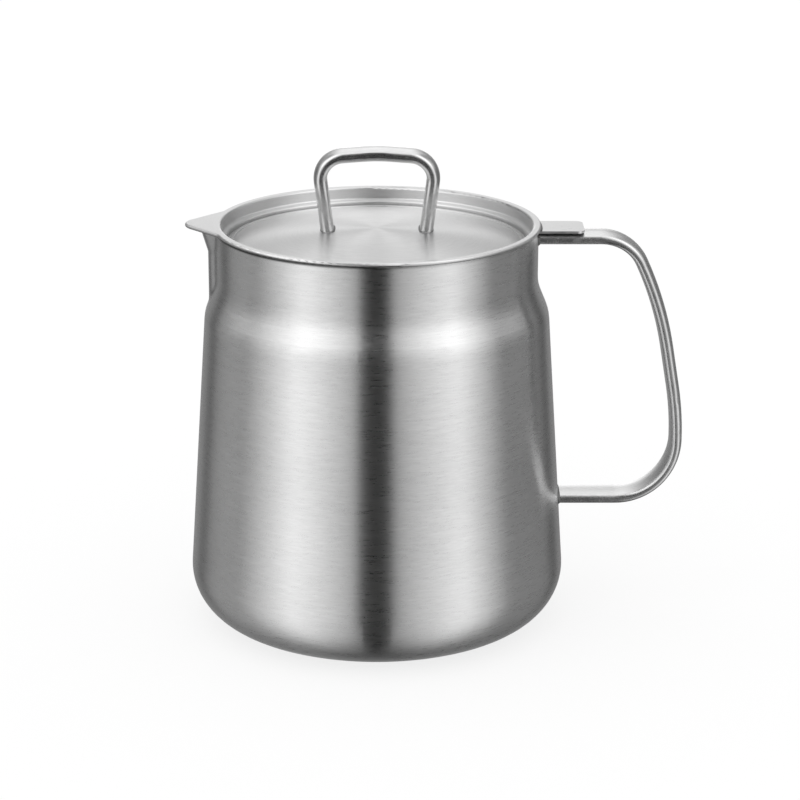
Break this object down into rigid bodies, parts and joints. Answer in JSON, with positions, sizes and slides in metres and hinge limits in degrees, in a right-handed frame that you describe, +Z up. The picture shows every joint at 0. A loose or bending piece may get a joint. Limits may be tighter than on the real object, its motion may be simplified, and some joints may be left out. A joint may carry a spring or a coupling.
{
  "type": "bacon grease container",
  "caption": "Lidded steel pot with a strap handle and a pouring spout; a drop-in strainer with a beaked flange keeps the solids out of saved cooking fat.",
  "frame": {"origin": "centre of the pot's flat base, on the table", "axes": "+Z up along the pot's axis, +X towards the handle, -X towards the spout, +Y to the back"},
  "size_m": [0.1683, 0.1276, 0.1637],
  "materials": {
    "pot_steel": "satin, fine brushing round the pot",
    "polished_strap": "polished stainless steel",
    "weld_metal": "dressed weld metal, dull",
    "strainer_steel": "satin, turned",
    "wire_gauze": "fine woven wire",
    "lid_steel": "satin, brushed in circles"
  },
  "bodies": {
    "pot": {"pot_body": "pot_steel", "pot_handle": "polished_strap", "handle_weld_beads": "weld_metal"},
    "strainer": {"strainer_bowl": "strainer_steel", "strainer_tab": "strainer_steel", "tab_weld_seam": "weld_metal", "strainer_mesh": "wire_gauze", "mesh_retaining_ring": "strainer_steel", "ring_spot_welds": "weld_metal"},
    "lid": {"lid_disc": "lid_steel", "lid_loop": "polished_strap", "loop_weld_beads": "weld_metal"}
  },
  "joints": [
    {"name": "strainer_lift", "type": "slide", "parent": "pot", "child": "strainer", "axis": [0, 0, 1], "range_m": [0, 0.06]},
    {"name": "lid_lift", "type": "slide", "parent": "strainer", "child": "lid", "axis": [0, 0, 1], "range_m": [0, 0.03]}
  ]
}
